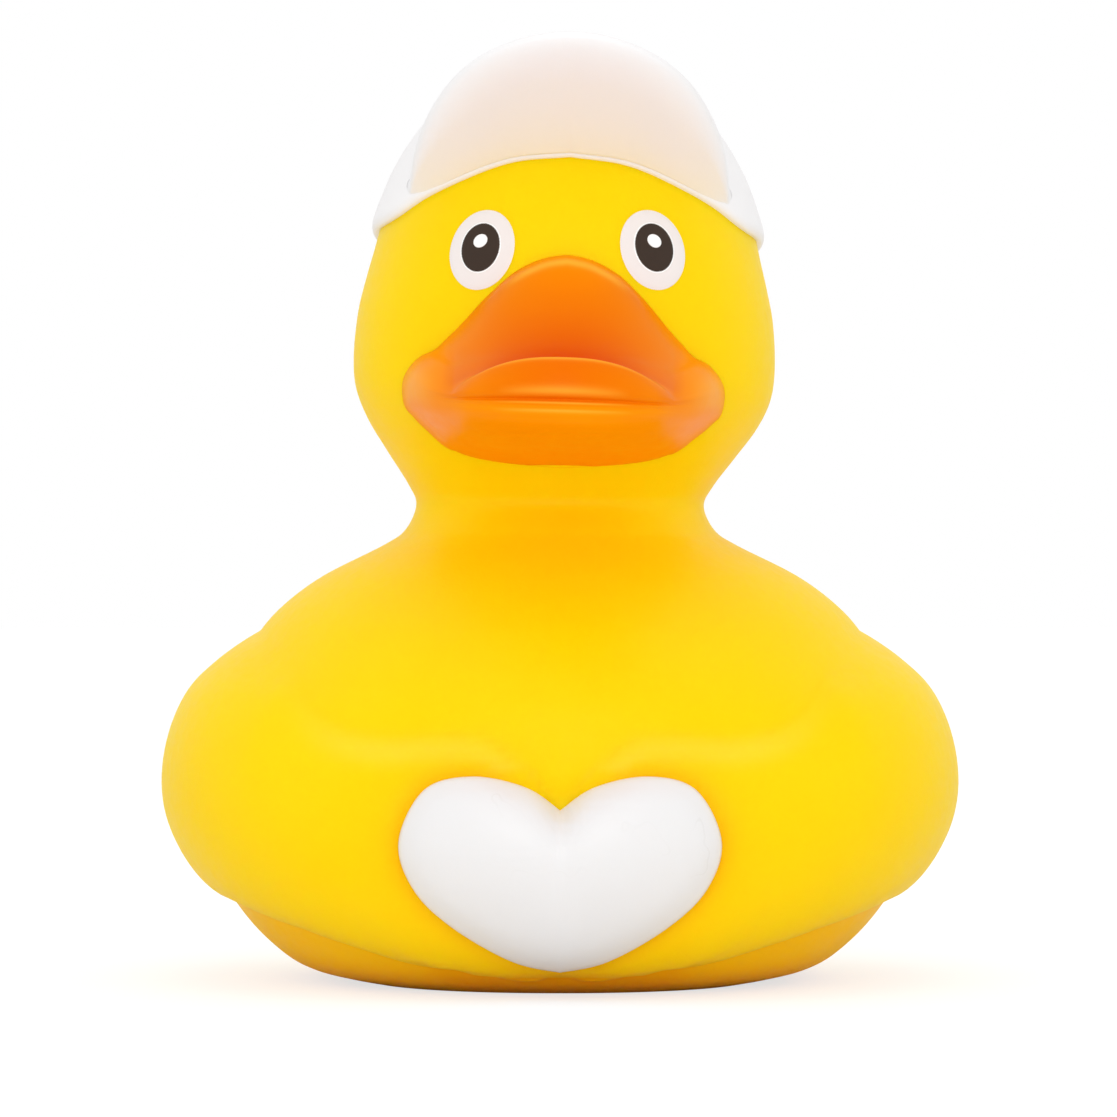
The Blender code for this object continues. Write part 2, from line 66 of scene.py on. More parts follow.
SHOULDER = (
    (0.24, 0.02, -0.06, 0.05),
    (0.38, 0.10, -0.06, 0.13),
    (0.54, 0.27, 0.03, 0.255),
    (0.645, 0.43, 0.18, 0.377),
    (0.75, 0.62, 0.42, 0.565),
    (0.86, 0.83, 0.73, 0.85),
    (0.914, 0.91, 0.86, 0.95),
)
JOWL = (
    (0.14, 0.11, 0.08, 0.13),
    (0.35, 0.42, 0.36, 0.45),
    (0.56, 0.74, 0.68, 0.76),
    (0.77, 0.94, 0.91, 0.955),
)
BROW = (
    (0.15, -0.01, 0.00, 0.015),
    (0.26, 0.00, 0.02, 0.045),
    (0.37, 0.03, 0.06, 0.082),
    (0.51, 0.10, 0.12, 0.13),
    (0.68, 0.21, 0.22, 0.22),
    (0.84, 0.37, 0.37, 0.36),
    (0.92, 0.52, 0.52, 0.51),
    (0.97, 0.70, 0.70, 0.69),
    (0.993, 0.86, 0.86, 0.86),
)
BODY_FULLNESS, HEAD_FULLNESS = 2.15, 2.0
HEAD_LEAN = math.radians(1.7)
BILL_TIP_X = 44.4
axis_x = duck_high.x * 1000 - BILL_TIP_X
SKIN_COLUMNS = 256
SKIN_ROWS_PER_SECTION = 9


def skin_sections():
    levels = (
        (0.0, BASE_REACH),
        (BELLY_Z, BELLY_REACH),
        (NECK_Z, NECK_REACH),
        (CHEEK_Z, CHEEK_REACH),
        (SCALP_Z, SCALP_REACH),
    )
    rows = [[0.0, *BASE_REACH]]
    for low, high, sections in zip(levels, levels[1:], (HULL, SHOULDER, JOWL, BROW)):
        for rise, *shares in sections:
            reach = [a + (b - a) * s for a, b, s in zip(low[1], high[1], shares)]
            rows.append([low[0] + (high[0] - low[0]) * rise, *reach])
        rows.append([high[0], *high[1]])
    return np.array(rows)


def smooth_curve(points, at):
    """A curve through the points, read at a position counted in points."""
    points = np.asarray(points, float)
    last = len(points) - 1
    at = np.clip(np.asarray(at, float), 0, last)
    i = np.minimum(at.astype(int), last - 1)
    f = (at - i)[..., None]
    before, after = points[np.maximum(i - 1, 0)], points[np.minimum(i + 2, last)]
    p, q = points[i], points[i + 1]
    square = 2 * before - 5 * p + 4 * q - after
    cube = 3 * (p - q) + after - before
    return p + 0.5 * f * (q - before + f * (square + f * cube))


SECTIONS = skin_sections()
PLACES = np.linspace(0, len(SECTIONS) - 1, 3000)
HEIGHTS = np.maximum.accumulate(smooth_curve(SECTIONS, PLACES)[:, 0] + PLACES * 1e-7)


def ease(value, low, high):
    s = np.clip((value - low) / (high - low), 0, 1)
    return s * s * (3 - 2 * s)


def place_at(height):
    """The position along the sections at which the skin has this height."""
    return np.interp(height, HEIGHTS, PLACES)


def section_points(place, angle):
    """Points of the bare skin at a position along its sections and degrees from straight ahead."""
    height, front, back, side = np.moveaxis(smooth_curve(SECTIONS, place), -1, 0)
    body = 1 - ease(height, BELLY_Z, NECK_Z)
    power = 2 / (HEAD_FULLNESS + (BODY_FULLNESS - HEAD_FULLNESS) * body)
    turn = np.radians(angle)
    ahead = np.sign(np.cos(turn)) * np.abs(np.cos(turn)) ** power
    across = np.sign(np.sin(turn)) * np.abs(np.sin(turn)) ** power
    x = (front - back) / 2 + (front + back) / 2 * ahead
    return np.stack([x, side * across, height + 0 * x], axis=-1)


def lean(points):
    """The head's slight lean to its left side, growing from the shoulders up to the jowls."""
    points = np.array(points, float)
    turn = HEAD_LEAN * ease(points[..., 2], 44.0, 60.0)
    y, z = points[..., 1].copy(), points[..., 2] - NECK_Z
    points[..., 1] = y * np.cos(turn) + z * np.sin(turn)
    points[..., 2] = NECK_Z + z * np.cos(turn) - y * np.sin(turn)
    return points


# The wings, part of the same skin.
# They swell out of the flanks and wrap forward, where they hold the heart and meet under its tip.
# Each wing's front end is laid in two feather layers, the inner one a low step over the outer.
WING_SWELL = 4.3
WING_ANGLES = (0, 4, 10, 16, 27, 38, 50, 70, 90, 112, 126, 138, 144)
WING_TOP_Z = (18.5, 22.4, 25.6, 26.0, 25.7, 27.2, 31.6, 35.0, 36.0, 37.0, 37.2, 36.5, 35.5)
WING_FOOT_Z = (2.4, 2.4, 2.4, 2.6, 3.2, 4.8, 6.5, 8.4, 9.1, 12.0, 17.5, 25.0, 31.0)
WING_SHARE = (0.50, 0.52, 0.55, 0.58, 0.66, 0.74, 0.84, 0.95, 1.0, 0.95, 0.80, 0.45, 0.0)
WING_SIDE_DEG = 95
LAYER_ANGLES = (0, 3, 6, 10, 15, 20, 27, 36)
LAYER_FOOT_Z = (2.6, 1.9, 1.7, 2.0, 2.7, 3.6, 5.2, 8.0)
LAYER_STEP = 0.45
WING_ROUNDNESS, WING_FLATTER_TOP = 0.62, 0.45


def grid_normals(points):
    along = np.gradient(points, axis=0)
    around = (np.roll(points, -1, axis=1) - np.roll(points, 1, axis=1)) / 2
    normals = np.cross(around, along)
    return normals / np.maximum(np.linalg.norm(normals, axis=-1, keepdims=True), 1e-9)


def follow_wing(places, angle):
    """Places moved so that one row of the mesh runs along the wing's foot."""
    heights = np.interp(places, PLACES, HEIGHTS)
    side_foot = np.interp(WING_SIDE_DEG, WING_ANGLES, WING_FOOT_Z)
    foot = np.interp(np.minimum(angle, WING_SIDE_DEG), WING_ANGLES, WING_FOOT_Z)
    below = heights * foot / side_foot
    above = foot + (heights - side_foot) * (BELLY_Z - foot) / (BELLY_Z - side_foot)
    moved = np.where(heights < side_foot, below, np.where(heights < BELLY_Z, above, heights))
    return place_at(moved)


def wing_edges(angle):
    """Height of the wing's foot, height of its top and its share of the swell at these angles."""
    table = np.stack([WING_FOOT_Z, WING_TOP_Z, WING_SHARE], axis=-1)
    at = np.interp(angle, WING_ANGLES, np.arange(len(WING_ANGLES)))
    return np.moveaxis(smooth_curve(table, at), -1, 0)


def layer_edge(angle):
    """Height of the inner feather layer's lower edge at these angles."""
    at = np.interp(angle, LAYER_ANGLES, np.arange(len(LAYER_ANGLES)))
    return smooth_curve(np.array(LAYER_FOOT_Z)[:, None], at)[..., 0]


def wing_swell(angle, height):
    foot, top, share = wing_edges(angle)
    s = np.clip((height - foot) / np.maximum(top - foot, 0.5), 0, 1)
    flatter = WING_FLATTER_TOP * s * ease(angle, 20, 60)
    whole = WING_SWELL * np.maximum(share, 0) * (4 * s * (1 - s)) ** (WING_ROUNDNESS + flatter)
    edge = layer_edge(angle)
    laid = ease(height, edge - 0.25, edge + 0.35) * (1 - ease(height, edge + 2, edge + 9))
    return whole + LAYER_STEP * laid * (1 - ease(angle, 22, 34))


# The tail, drawn out of the back of the same skin and turned up.
# It is hollow like the rest of the moulding: a cone with a wide soft root and a rounded tip.
TAIL_ROOT_Z = 33.5
TAIL_LENGTH = 12.0
TAIL_HALF_WIDTH, TAIL_HALF_DEPTH = 17.0, 11.5
TAIL_PITCH_DEG, TAIL_CURL_DEG = 12.0, 42.0
COLUMNS_DRAWN_IN_DEG = 8.0


def pull_tail(points, angle):
    across = points[..., 1] / TAIL_HALF_WIDTH
    up = (points[..., 2] - TAIL_ROOT_Z) / TAIL_HALF_DEPTH
    near = np.clip(1 - np.hypot(across, up), 0, 1) * (np.abs(angle) > 90)
    pull = near * near * (3 - 2 * near)
    pitch = np.radians(TAIL_PITCH_DEG + TAIL_CURL_DEG * pull)
    moved = np.array(points)
    moved[..., 0] -= TAIL_LENGTH * pull * np.cos(pitch)
    moved[..., 2] += TAIL_LENGTH * pull * np.sin(pitch)
    return moved


around = (np.arange(SKIN_COLUMNS) + 0.5) * 360 / SKIN_COLUMNS
around = around - COLUMNS_DRAWN_IN_DEG * np.sin(np.radians(2 * around))
from_front = np.abs((around + 180) % 360 - 180)
places = np.linspace(0, len(SECTIONS) - 1, (len(SECTIONS) - 1) * SKIN_ROWS_PER_SECTION + 1)[:-1]
places = follow_wing(places[:, None] + 0 * around, from_front[None, :] + 0 * places[:, None])
angles = from_front[None, :] + 0 * places
bare = section_points(places, around[None, :] + 0 * places)
swollen = bare + grid_normals(bare) * wing_swell(angles, bare[..., 2])[..., None]
skin_points = pull_tail(swollen, angles)

# The chest, part of the same skin, pressed in where the wings hold the heart.
# Shade is painted into its colour: deeper orange round the heart, under the wings, between the
# hands and low at the base, and a painted sheen, paler, along the wings' top edges.
HEART_OUTLINE = (
    (0.0, 18.9),
    (3.4, 21.2),
    (8.6, 22.25),
    (13.3, 20.9),
    (15.8, 15.8),
    (14.3, 11.0),
    (10.4, 7.2),
    (4.6, 3.8),
    (0.0, 2.7),
)
PRESSED_IN, PRESS_WIDTH, SHADE_WIDTH_BY_HEART = 0.55, 1.3, 1.7
SHADE_BY_HEART, LESS_SHADE_IN_NOTCH = 0.6, 0.85
SHADE_UNDER_WING, SHADE_UNDER_LAYER, SHADE_AT_BASE = 0.42, 0.2, 0.35
PAINTED_SHEEN_ON_EDGE = 0.5
half = smooth_curve(HEART_OUTLINE, np.linspace(0, len(HEART_OUTLINE) - 1, 97))
outline = np.vstack([half, (half * (-1, 1))[-2:0:-1]])
in_front = np.argwhere((angles < 60) & (skin_points[..., 2] < 30))
near = skin_points[in_front[:, 0], in_front[:, 1], 1:]
nearest = np.min(np.linalg.norm(near[:, None] - outline[None], axis=-1), axis=1)
gap = np.full(angles.shape, 99.0)
gap[in_front[:, 0], in_front[:, 1]] = nearest
skin_points[..., 0] -= PRESSED_IN * np.exp(-((gap / PRESS_WIDTH) ** 2))
heights = bare[..., 2]
foot, top = wing_edges(angles)[:2]
# Painted shade under the wings' feet, under the inner layer, at the base and round the heart.
shade_under_wing = SHADE_UNDER_WING * ease(foot - heights, -0.9, 0.4) * (1 - ease(angles, 95, 125))
shade_under_layer = ease(layer_edge(angles) - heights, -0.4, 0.3) * (1 - ease(angles, 20, 30))
shade_at_base = SHADE_AT_BASE * (1 - ease(heights, 0.5, 4.0))
in_notch = np.exp(-((bare[..., 1] / 5.0) ** 2)) * ease(heights, 13, 18)
shade_by_heart = SHADE_BY_HEART * np.exp(-gap / SHADE_WIDTH_BY_HEART) * (1 - LESS_SHADE_IN_NOTCH * in_notch)
painted_fold_shade = np.clip(shade_by_heart + shade_under_wing + SHADE_UNDER_LAYER * shade_under_layer + shade_at_base, 0, 1)
# Painted sheen: a paler band just under the top edge of each wing, toward the front.
below_top = np.exp(-(((heights - top + 1.3) / 1.2) ** 2))
painted_sheen = PAINTED_SHEEN_ON_EDGE * below_top * (1 - ease(angles, 24, 50)) * (gap > 1)
skin_points = lean(skin_points)

# The flat base and its vent, a pin hole where the mould's air gets out.
# They close the skin, which is one sheet of satin yellow vinyl, coloured all through.
VENT_RADIUS = 1.5
VENT_DEPTH = 2.0
spread = np.stack([np.cos(np.radians(around)), np.sin(np.radians(around)), 0 * around], axis=-1)
base_rings = [spread * r + (0, 0, z) for r, z in ((0.02, VENT_DEPTH), (VENT_RADIUS - 0.1, VENT_DEPTH))]
base_rings += [spread * r + (0, 0, z) for r, z in ((VENT_RADIUS, 0.25), (VENT_RADIUS + 0.25, 0.0))]
rim = skin_points[0]
base_rings += [rim * share * (1, 1, 0) for share in (0.3, 0.6, 0.9, 0.985)]
skin_points = np.concatenate([np.stack(base_rings), skin_points])
painted_fold_shade, painted_sheen = (np.vstack([np.zeros((len(base_rings), SKIN_COLUMNS)), v]) for v in (painted_fold_shade, painted_sheen))


def mesh_piece(name, grid, wrap=True, close=(True, True), point_values=()):
    """A smooth piece from a grid of points in millimetres, its open ends closed by fans."""
    rows, columns = grid.shape[:2]
    points = grid.reshape(-1, 3)
    index = np.arange(rows * columns).reshape(rows, columns)
    if wrap:
        index = np.concatenate([index, index[:, :1]], axis=1)
    quads = np.stack([index[:-1, :-1], index[:-1, 1:], index[1:, 1:], index[1:, :-1]], axis=-1)
    faces = [tuple(q) for q in quads.reshape(-1, 4).tolist()]
    for end, wanted in ((0, close[0]), (-1, close[1])):
        if wanted:
            points = np.vstack([points, grid[end].mean(axis=0)])
            ring = index[end].tolist()
            faces += [(len(points) - 1, a, b) for a, b in zip(ring, ring[1:])]
    mesh = bpy.data.meshes.new(name)
    mesh.from_pydata(((points + (axis_x, 0, 0)) / 1000).tolist(), [], faces)
    for key, values in dict(point_values).items():
        layer = mesh.attributes.new(key, "FLOAT", "POINT")
        layer.data.foreach_set("value", np.resize(np.append(values, (0.0, 0.0)), len(points)))
    shape = bmesh.new()
    shape.from_mesh(mesh)
    bmesh.ops.remove_doubles(shape, verts=shape.verts, dist=1e-6)
    bmesh.ops.recalc_face_normals(shape, faces=shape.faces)
    shape.to_mesh(mesh)
    shape.free()
    mesh.shade_smooth()
    piece = bpy.data.objects.new(name, mesh)
    bpy.context.scene.collection.objects.link(piece)
    return piece


# The skin carries its painted shade and its painted sheen as point values.
skin = mesh_piece("vinyl_skin", skin_points, point_values={"painted_fold_shade": painted_fold_shade, "edge": painted_sheen})


class Finish:
    """A Principled material with helpers for the nodes that vary it."""

    def __init__(self, name, colour, roughness):
        self.material = bpy.data.materials.new(name)
        self.material.use_nodes = True
        self.nodes = self.material.node_tree.nodes
        self.links = self.material.node_tree.links
        self.shader = self.nodes["Principled BSDF"]
        self.shader.inputs["Base Color"].default_value = (*colour, 1)
        self.shader.inputs["Roughness"].default_value = roughness
        self.place = self.add("ShaderNodeTexCoord").outputs["Object"]

    def add(self, kind, inputs=(), **settings):
        node = self.nodes.new(kind)
        for name, value in settings.items():
            setattr(node, name, value)
        for name, value in dict(inputs).items():
            if isinstance(value, bpy.types.NodeSocket):
                self.links.new(value, node.inputs[name])
            else:
                node.inputs[name].default_value = value
        return node

    def noise(self, scale, detail=2.0, roughness=0.5):
        node = self.add("ShaderNodeTexNoise", {"Vector": self.place, "Scale": scale})
        node.inputs["Detail"].default_value = detail
        node.inputs["Roughness"].default_value = roughness
        return node.outputs["Fac"]

    def spread(self, value, low, high, to_low, to_high):
        inputs = {"Value": value, "From Min": low, "From Max": high, "To Min": to_low, "To Max": to_high}
        return self.add("ShaderNodeMapRange", inputs).outputs["Result"]

    def mixed(self, factor, first, second):
        node = self.add("ShaderNodeMix", data_type="RGBA")
        for socket, value in ((node.inputs[0], factor), (node.inputs[6], first), (node.inputs[7], second)):
            if isinstance(value, bpy.types.NodeSocket):
                self.links.new(value, socket)
            elif isinstance(value, tuple):
                socket.default_value = (*value, 1)
            else:
                socket.default_value = value
        return node.outputs[2]

    def wire(self, value, socket):
        self.links.new(value, self.shader.inputs[socket])

    def relief(self, height, distance, strength=1.0):
        inputs = {"Height": height, "Distance": distance, "Strength": strength}
        self.wire(self.add("ShaderNodeBump", inputs).outputs["Normal"], "Normal")


# Satin vinyl: colour all through, a very fine grain from the mould and a little light under the
# surface.
vinyl = Finish("yellow vinyl", (1.0, 0.655, 0.0), 0.42)
cloud = vinyl.spread(vinyl.noise(60, 3), 0.35, 0.65, 0, 1)
even = vinyl.mixed(cloud, (1.0, 0.645, 0.0), (1.0, 0.662, 0.002))
# Painted shade: this point value deepens the colour to orange in the creases and low down.
painted_fold_shade = vinyl.add("ShaderNodeAttribute", attribute_name="painted_fold_shade").outputs["Fac"]
# Painted sheen: this point value pales the colour along the wings' top edges.
edge = vinyl.add("ShaderNodeAttribute", attribute_name="edge").outputs["Fac"]
with_painted_sheen = vinyl.mixed(vinyl.spread(edge, 0, 1, 0, 0.8), even, (1.0, 0.73, 0.06))
vinyl.wire(vinyl.mixed(painted_fold_shade, with_painted_sheen, (1.0, 0.40, 0.0)), "Base Color")
vinyl.wire(vinyl.spread(vinyl.noise(900, 2), 0.3, 0.7, 0.38, 0.47), "Roughness")
vinyl.relief(vinyl.noise(3200, 3), 0.00002)
vinyl.shader.inputs["Specular IOR Level"].default_value = 0.06
vinyl.shader.inputs["Subsurface Weight"].default_value = 0.35
vinyl.shader.inputs["Subsurface Radius"].default_value = (1.0, 0.4, 0.05)
vinyl.shader.inputs["Subsurface Scale"].default_value = 0.004
skin.data.materials.append(vinyl.material)
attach(skin, "root")
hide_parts("duck")

# The heart: a pillow moulded with the chest and painted white.
# Its outline stands on the skin all round and its face is softly crowned, with hairline scuffs.
HEART_PROUD = 3.2
HEART_BEDDED = 0.12
HEART_EDGE_TURNS_IN_DEG, HEART_RINGS = 35, 40
HEART_CENTRE = np.array([0.0, 14.0])
skin_tree = BVHTree.FromPolygons(
    [v.co * 1000 - Vector((axis_x, 0, 0)) for v in skin.data.vertices],
    [tuple(p.vertices) for p in skin.data.polygons],
)


def front_of_skin(y, z):
    """How far forward the skin reaches at this place across and up."""
    return skin_tree.ray_cast(Vector((200, y, z)), Vector((-1, 0, 0)))[0].x


turn = np.radians(np.linspace(-HEART_EDGE_TURNS_IN_DEG, 90, HEART_RINGS))
shares = np.where(turn > 0, 1 - 0.98 * (1 - np.cos(turn)) ** 0.75, 1 + 0.12 * turn)
rises = np.where(turn > 0, np.sin(turn) ** 0.72, np.sin(turn) * 0.8)
rings = []
for share, rise in zip(shares, rises):
    yz = HEART_CENTRE + (outline - HEART_CENTRE) * share
    x = np.array([front_of_skin(y, z) for y, z in yz])
    proud = HEART_PROUD * (HEART_BEDDED + (1 - HEART_BEDDED) * rise)
    rings.append(np.stack([x + proud, yz[:, 0], yz[:, 1]], axis=-1))
heart = mesh_piece("heart", np.stack(rings), close=(False, True))

white_paint = Finish("white heart paint", (0.88, 0.88, 0.885), 0.38)
white_paint.shader.inputs["Specular IOR Level"].default_value = 0.3
warp = white_paint.noise(90, 4)
waves = {"Vector": white_paint.place, "Scale": 70.0, "Distortion": 34.0}
hair = white_paint.add("ShaderNodeTexWave", waves)
hair.inputs["Detail"].default_value = 3.0
line = white_paint.spread(hair.outputs["Fac"], 0.0, 0.012, 1.0, 0.0)
patchy = white_paint.spread(white_paint.noise(140, 2), 0.52, 0.68, 0.0, 0.5)
scuff = white_paint.add("ShaderNodeMath", {0: line, 1: patchy}, operation="MULTIPLY").outputs[0]
white_paint.wire(white_paint.mixed(scuff, (0.80, 0.795, 0.80), (0.71, 0.70, 0.69)), "Base Color")
white_paint.wire(white_paint.spread(warp, 0.3, 0.7, 0.34, 0.42), "Roughness")
white_paint.relief(white_paint.noise(2400, 2), 0.00001)
heart.data.materials.append(white_paint.material)
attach(heart, "root")
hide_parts("duck")

# The bill: moulded with the face and sprayed orange.
# Level by level it is a half oval standing on the face: a rounded shoulder at the root, a hollow
# slope, a thick lip that rolls forward over it, the mouth's fine groove, a lower lip with a bead
# and a long chin. The lip closes at the mouth's corners and ends in two round lobes.
BILL_OUTLINE = (
    (73.6, 0.0),
    (73.3, 1.95),
    (72.7, 3.6),
    (71.5, 5.6),
    (69.2, 8.05),
    (67.2, 9.85),
    (65.3, 11.7),
    (64.0, 13.1),
    (63.35, 14.5),
    (62.4, 15.55),
    (61.3, 16.2),
    (60.0, 16.4),
    (58.4, 16.1),
    (57.4, 15.2),
    (56.2, 13.9),
    (54.15, 11.1),
    (53.2, 6.6),
    (52.6, 0.0),
)
# Each row: depth and height on the middle line, height beside the mouth's corner, depth and
# height where it ends on the cheek.
BILL_ROWS = (
    (26.4, 73.6, 73.6, 26.4, 73.6),
    (28.5, 73.5, 73.5, 28.5, 73.5),
    (29.9, 73.1, 73.1, 29.9, 73.1),
    (30.9, 72.0, 72.0, 30.9, 72.0),
    (32.3, 69.8, 69.8, 32.3, 69.8),
    (34.4, 67.2, 67.2, 34.4, 67.2),
    (36.6, 65.1, 64.9, 36.6, 65.1),
    (38.7, 63.7, 62.8, 38.7, 64.0),
    (40.5, 62.7, 61.3, 40.3, 63.0),
    (41.6, 62.3, 60.4, 41.3, 62.1),
    (42.2, 62.5, 59.9, 42.0, 61.5),
    (42.7, 62.9, 59.6, 42.5, 61.1),
    (43.15, 62.8, 59.45, 42.8, 60.8),
    (43.8, 61.9, 59.3, 43.0, 60.5),
    (44.25, 60.8, 59.2, 43.1, 60.2),
    (44.4, 59.8, 59.1, 43.1, 60.0),
    (44.25, 59.15, 58.95, 43.1, 59.8),
    (43.85, 58.8, 58.8, 43.1, 59.6),
    (44.2, 58.45, 58.6, 43.1, 59.4),
    (44.08, 58.1, 58.3, 43.0, 59.1),
    (44.25, 57.7, 57.9, 42.8, 58.7),
    (44.0, 57.1, 57.4, 42.4, 58.1),
    (43.0, 56.2, 56.7, 41.5, 57.2),
    (40.5, 55.4, 55.8, 39.7, 56.1),
    (35.5, 54.7, 55.0, 35.5, 55.0),
    (28.5, 54.0, 54.2, 28.5, 54.1),
    (21.5, 53.2, 53.3, 21.5, 53.3),
    (16.5, 52.6, 52.6, 16.5, 52.6),
)
CORNER_Y = 10.8
LIP_FADE = 1.6
LIP_ARCH = 2.6
BILL_BEDDED = 0.15
BILL_STEPS_PER_ROW = 10
BILL_COLUMNS = 181
SHOULDER_ROW, VALLEY_ROW, MOUTH_ROW = 2, 9, 17
SPRAY_AND_SHADE_ON_LIP, SHADE_BY_CORNER, SPRAY_AND_SHADE_HALF_WIDTH = 0.45, 0.16, 12.0
# Painted highlights and sheen, in lighter orange: on the crest, on the lobes, and along lines, each
# given by its row, rows either way, reach across and strength.
HIGHLIGHT_ON_CREST, SHEEN_ON_LOBES = 0.75, 0.45
HIGHLIGHT_LINES = (
    (11.9, 0.3, 10.5, 0.6),
    (15.2, 0.55, 6.5, 0.5),
    (17.9, 0.3, 7.0, 0.6),
    (20.0, 0.35, 7.0, 0.5),
)


def face_depth(across, height):
    """How far forward the bare head reaches at this place across and up."""
    front, back, side = np.moveaxis(smooth_curve(SECTIONS, place_at(height))[..., 1:], -1, 0)
    level = np.sqrt(1 - np.minimum(np.abs(across) / side, 0.98) ** 2)
    return (front - back) / 2 + (front + back) / 2 * level


edge = smooth_curve(BILL_OUTLINE, np.linspace(0, len(BILL_OUTLINE) - 1, 2000))[::-1]
row = np.linspace(0, len(BILL_ROWS) - 1, (len(BILL_ROWS) - 1) * BILL_STEPS_PER_ROW + 1)[:, None]
depth, middle_z, corner_z, cheek_depth, cheek_z = np.moveaxis(smooth_curve(BILL_ROWS, row), -1, 0)
half_width = np.interp(cheek_z, edge[:, 0], edge[:, 1])
turn = np.radians(np.linspace(-90, 90, BILL_COLUMNS))[None, :]
y = half_width * np.sin(turn)
across = np.abs(y)
to_corner = (np.minimum(across, CORNER_Y) / CORNER_Y) ** LIP_ARCH
to_cheek = ease(across, CORNER_Y, np.maximum(half_width, CORNER_Y + 0.5))
z = middle_z + (corner_z - middle_z) * to_corner + (cheek_z - corner_z) * to_cheek
shut = ease(across, CORNER_Y - LIP_FADE, CORNER_Y + LIP_FADE)
face_x = face_depth(half_width, cheek_z)
bedded_x = face_x - BILL_BEDDED * np.maximum(cheek_depth - face_x, 0)
x = bedded_x + (depth + (cheek_depth - depth) * shut - bedded_x) * np.cos(turn)
# Deeper paint and painted shade: darker red down the slope into the valley, on the lip, and painted shade
# beside the mouth's corners.
on_slope = np.clip((row - SHOULDER_ROW) / (VALLEY_ROW - SHOULDER_ROW), 0, 1)
on_lip = SPRAY_AND_SHADE_ON_LIP * (1 - ease(row, MOUTH_ROW - 0.5, MOUTH_ROW + 2.5))
deep_paint_and_shade = np.where(row < VALLEY_ROW, on_slope, np.maximum(on_lip, 1 - (row - VALLEY_ROW) / 2))
spray_and_shade = deep_paint_and_shade * np.clip(1 - (across / SPRAY_AND_SHADE_HALF_WIDTH) ** 2, 0, 1)
shade_by_corner = np.exp(-(((across - CORNER_Y) / 1.5) ** 2)) * ease(row, 5, 9) * (1 - ease(row, 15, 18))
spray_and_shade = spray_and_shade + SHADE_BY_CORNER * shade_by_corner
# Painted highlights along the crest and the lip lines, and a painted sheen on the lobes.
painted_highlight = np.zeros_like(spray_and_shade)
for middle, width, reach, strength in HIGHLIGHT_LINES:
    fade = np.clip(1 - (across / np.minimum(reach, half_width + 0.1)) ** 2, 0, 1)
    painted_highlight = painted_highlight + strength * fade * np.exp(-(((row - middle) / width) ** 2))
from_edge = np.full(y.shape, 99.0)
for edge_z, edge_y in edge[::16]:
    from_edge = np.minimum(from_edge, np.hypot(across - edge_y, z - edge_z))
painted_highlight = painted_highlight + HIGHLIGHT_ON_CREST * np.exp(-(((from_edge - 0.8) / 0.35) ** 2)) * ease(z, 69.5, 72.0)
painted_highlight = painted_highlight + SHEEN_ON_LOBES * ease(across, 12.0, 15.5) * ease(row, 7, 10) * (1 - ease(row, 17, 22))
bill_points = lean(np.stack([x, y, z], axis=-1))
bill = mesh_piece("bill", bill_points, point_values={"spray_and_shade": spray_and_shade, "painted_highlight": painted_highlight})

orange_paint = Finish("orange bill paint", (0.94, 0.24, 0.0), 0.32)
orange_paint.shader.inputs["Specular IOR Level"].default_value = 0.03
cloud = orange_paint.spread(orange_paint.noise(120, 3), 0.35, 0.65, 0, 1)
even = orange_paint.mixed(cloud, (0.95, 0.27, 0.0), (0.96, 0.285, 0.0))
# Deeper paint and painted shade darken the orange where this point value is high.
deep_paint_and_shade = orange_paint.add("ShaderNodeAttribute", attribute_name="spray_and_shade").outputs["Fac"]
# Painted highlights and sheen lighten the orange where this point value is high.
painted_highlight = orange_paint.add("ShaderNodeAttribute", attribute_name="painted_highlight").outputs["Fac"]
with_deep_paint_and_shade = orange_paint.mixed(deep_paint_and_shade, even, (0.66, 0.008, 0.0))
orange_paint.wire(orange_paint.mixed(painted_highlight, with_deep_paint_and_shade, (1.0, 0.47, 0.04)), "Base Color")
orange_paint.wire(orange_paint.spread(orange_paint.noise(800, 2), 0.3, 0.7, 0.29, 0.35), "Roughness")
orange_paint.relief(orange_paint.noise(2600, 2), 0.000005)
bill.data.materials.append(orange_paint.material)
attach(bill, "root")
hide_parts("duck")

# The cap's crown: the top of the head, raised by a millimetre in the mould.
# Its edge is a rounded step all round the head, and the white paint ends there.
CAP_THICKNESS = 1.0
CROWN_COLUMNS, CROWN_ROWS, CROWN_CLOSES_AT = 240, 110, 0.985
CAP_EDGE_ANGLES = (0, 20, 40, 52, 62, 90, 130, 180)
CAP_EDGE_Z = (83.6, 82.9, 80.7, 79.2, 77.8, 76.4, 74.0, 72.5)


def along(value, at, heights):
    """A smooth reading of a short table of heights, with no kink where its steps change."""
    at, heights = np.array(at, float), np.array(heights, float)
    slopes = np.gradient(heights, at)
    i = np.clip(np.searchsorted(at, value, side="right") - 1, 0, len(at) - 2)
    width, rise = at[i + 1] - at[i], heights[i + 1] - heights[i]
    f = (value - at[i]) / width
    leaving, arriving = slopes[i] * width - rise, rise - slopes[i + 1] * width
    return heights[i] + rise * f + f * (1 - f) * (leaving * (1 - f) + arriving * f)


